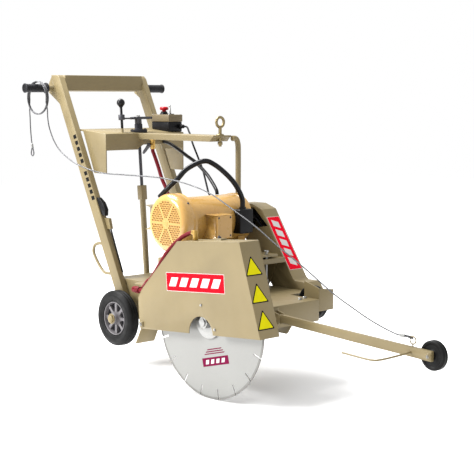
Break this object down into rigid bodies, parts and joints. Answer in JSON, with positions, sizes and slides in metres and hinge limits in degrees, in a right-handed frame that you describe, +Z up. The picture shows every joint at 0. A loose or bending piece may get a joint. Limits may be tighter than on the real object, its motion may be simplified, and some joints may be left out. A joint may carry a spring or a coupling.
{
  "type": "walk-behind concrete saw",
  "caption": "Walk-behind concrete saw with electric motor, belt-driven guarded diamond blade, crank-fed wheel carriage, folding pointer arm and upright handles.",
  "frame": {"origin": "on the floor under the middle of the saw's bounding box, taken without the pull rope", "axes": "+X forward, the way the saw cuts; +Y to the operator's left, along the blade arbor; +Z up"},
  "size_m": [1.946, 0.722, 1.059],
  "materials": {
    "tan_paint": "satin enamel, lightly worn at edges",
    "gold_paint": "semi-gloss enamel",
    "rim_paint": "satin grey",
    "blade_steel": "satin, fine radial grain",
    "plated_steel": "zinc plated",
    "cast_iron": "as cast",
    "black_rubber": "matte",
    "wheel_rubber": "matte",
    "red_rubber": "satin",
    "black_plastic": "matte",
    "red_plastic": "gloss",
    "brass": "turned",
    "rope_steel": "galvanised strands"
  },
  "bodies": {
    "chassis": {"base_frame": "tan_paint", "motor_stand": "tan_paint", "motor_plate": "tan_paint", "belt_tension_bolt": "plated_steel", "motor_body": "gold_paint", "front_wheel_shade": "tan_paint", "motor_fan_cover": "gold_paint", "motor_lead_boot": "black_rubber", "drive_belts": "black_rubber", "belt_guard": "tan_paint", "arbor_bearing_right": "cast_iron", "arbor_bearing_left": "cast_iron", "blade_guard": "tan_paint", "splash_flap": "tan_paint", "handle_frame": "tan_paint", "grip_right": "black_rubber", "grip_left": "black_rubber", "console": "tan_paint", "lifting_eye": "plated_steel", "bail_tube": "tan_paint", "crank_bearing": "cast_iron", "pointer_bracket": "tan_paint", "switch_base": "black_plastic", "switch_lid": "tan_paint", "cable_gland": "black_plastic", "power_lead": "black_rubber", "control_lead": "black_rubber", "motor_lead": "black_rubber", "water_valve": "brass", "supply_hose": "red_rubber", "hose_coupling": "brass", "guard_hose": "red_rubber", "hose_elbow": "brass", "rope_run": "rope_steel", "rope_coil": "rope_steel", "rope_tail": "rope_steel", "cord_hook": "tan_paint", "arm_clip": "black_rubber"},
    "motor_rotor": {"motor_shaft_and_fan": "plated_steel", "motor_pulley": "cast_iron"},
    "arbor": {"saw_blade": "blade_steel", "arbor_shaft": "plated_steel", "outer_blade_flange": "plated_steel", "arbor_nut": "plated_steel", "arbor_pulley": "cast_iron"},
    "crank": {"depth_crank": "plated_steel"},
    "crank_lock": {"crank_lock_knob": "black_plastic"},
    "lift_tube": {"lift_tube": "tan_paint"},
    "carriage": {"wheel_carriage": "tan_paint"},
    "rear_wheel_right": {"rear_tyre_right": "wheel_rubber", "rear_rim_right": "rim_paint"},
    "rear_wheel_left": {"rear_tyre_left": "wheel_rubber", "rear_rim_left": "rim_paint"},
    "front_wheel_right": {"front_wheel_right": "wheel_rubber"},
    "front_wheel_left": {"front_wheel_left": "wheel_rubber"},
    "pointer": {"pointer_bar": "tan_paint"},
    "pointer_wheel": {"pointer_wheel": "wheel_rubber"},
    "stop_button": {"stop_button": "red_plastic"},
    "start_toggle": {"start_toggle": "black_plastic"},
    "valve_lever": {"valve_lever": "plated_steel"}
  },
  "joints": [
    {"name": "blade_spin", "type": "hinge", "parent": "chassis", "child": "arbor", "pos_m": [0.116, -0.313, 0.254], "axis": [0, 1, 0], "continuous": true},
    {"name": "motor_spin", "type": "hinge", "parent": "chassis", "child": "motor_rotor", "pos_m": [-0.178, 0.154, 0.546], "axis": [0, 1, 0], "continuous": true},
    {"name": "carriage_swing", "type": "hinge", "parent": "chassis", "child": "carriage", "pos_m": [-0.496, 0.024, 0.173], "axis": [0, 1, 0], "range_deg": [0, 21]},
    {"name": "crank_turn", "type": "hinge", "parent": "chassis", "child": "crank", "pos_m": [-0.669, 0.024, 0.839], "axis": [-0.0757, 0, 0.9971], "range_deg": [0, 3260]},
    {"name": "lift_tube_slide", "type": "slide", "parent": "chassis", "child": "lift_tube", "axis": [-0.0757, 0, 0.9971], "range_m": [0, 0.046]},
    {"name": "crank_lock_lift", "type": "slide", "parent": "crank", "child": "crank_lock", "axis": [-0.0757, 0, 0.9971], "range_m": [0, 0.015]},
    {"name": "rear_wheel_right_roll", "type": "hinge", "parent": "chassis", "child": "rear_wheel_right", "pos_m": [-0.496, -0.217, 0.173], "axis": [0, 1, 0], "continuous": true},
    {"name": "rear_wheel_left_roll", "type": "hinge", "parent": "chassis", "child": "rear_wheel_left", "pos_m": [-0.496, 0.265, 0.173], "axis": [0, 1, 0], "continuous": true},
    {"name": "front_wheel_right_roll", "type": "hinge", "parent": "carriage", "child": "front_wheel_right", "pos_m": [0.216, -0.223, 0.285], "axis": [0, 1, 0], "continuous": true},
    {"name": "front_wheel_left_roll", "type": "hinge", "parent": "carriage", "child": "front_wheel_left", "pos_m": [0.216, 0.066, 0.285], "axis": [0, 1, 0], "continuous": true},
    {"name": "pointer_raise", "type": "hinge", "parent": "chassis", "child": "pointer", "pos_m": [0.307, -0.189, 0.274], "axis": [0, -1, 0], "range_deg": [0, 90]},
    {"name": "pointer_wheel_roll", "type": "hinge", "parent": "pointer", "child": "pointer_wheel", "pos_m": [0.915, -0.171, 0.246], "axis": [0, 1, 0], "continuous": true},
    {"name": "stop_button_press", "type": "slide", "parent": "chassis", "child": "stop_button", "axis": [0, 0, -1], "range_m": [0, 0.003], "stiffness_N_per_m": 600},
    {"name": "start_toggle_flip", "type": "hinge", "parent": "chassis", "child": "start_toggle", "pos_m": [-0.674, 0.187, 0.905], "axis": [0, 1, 0], "range_deg": [0, 25]},
    {"name": "valve_lever_turn", "type": "hinge", "parent": "chassis", "child": "valve_lever", "pos_m": [-0.598, 0.017, 0.795], "axis": [0, -1, 0], "range_deg": [0, 90]}
  ],
  "couplings": [
    {"joint": "motor_spin", "follows": "blade_spin", "ratio": 1.125},
    {"joint": "crank_turn", "follows": "carriage_swing", "ratio": 154.29},
    {"joint": "lift_tube_slide", "follows": "carriage_swing", "m_per_rad": 0.12169}
  ]
}
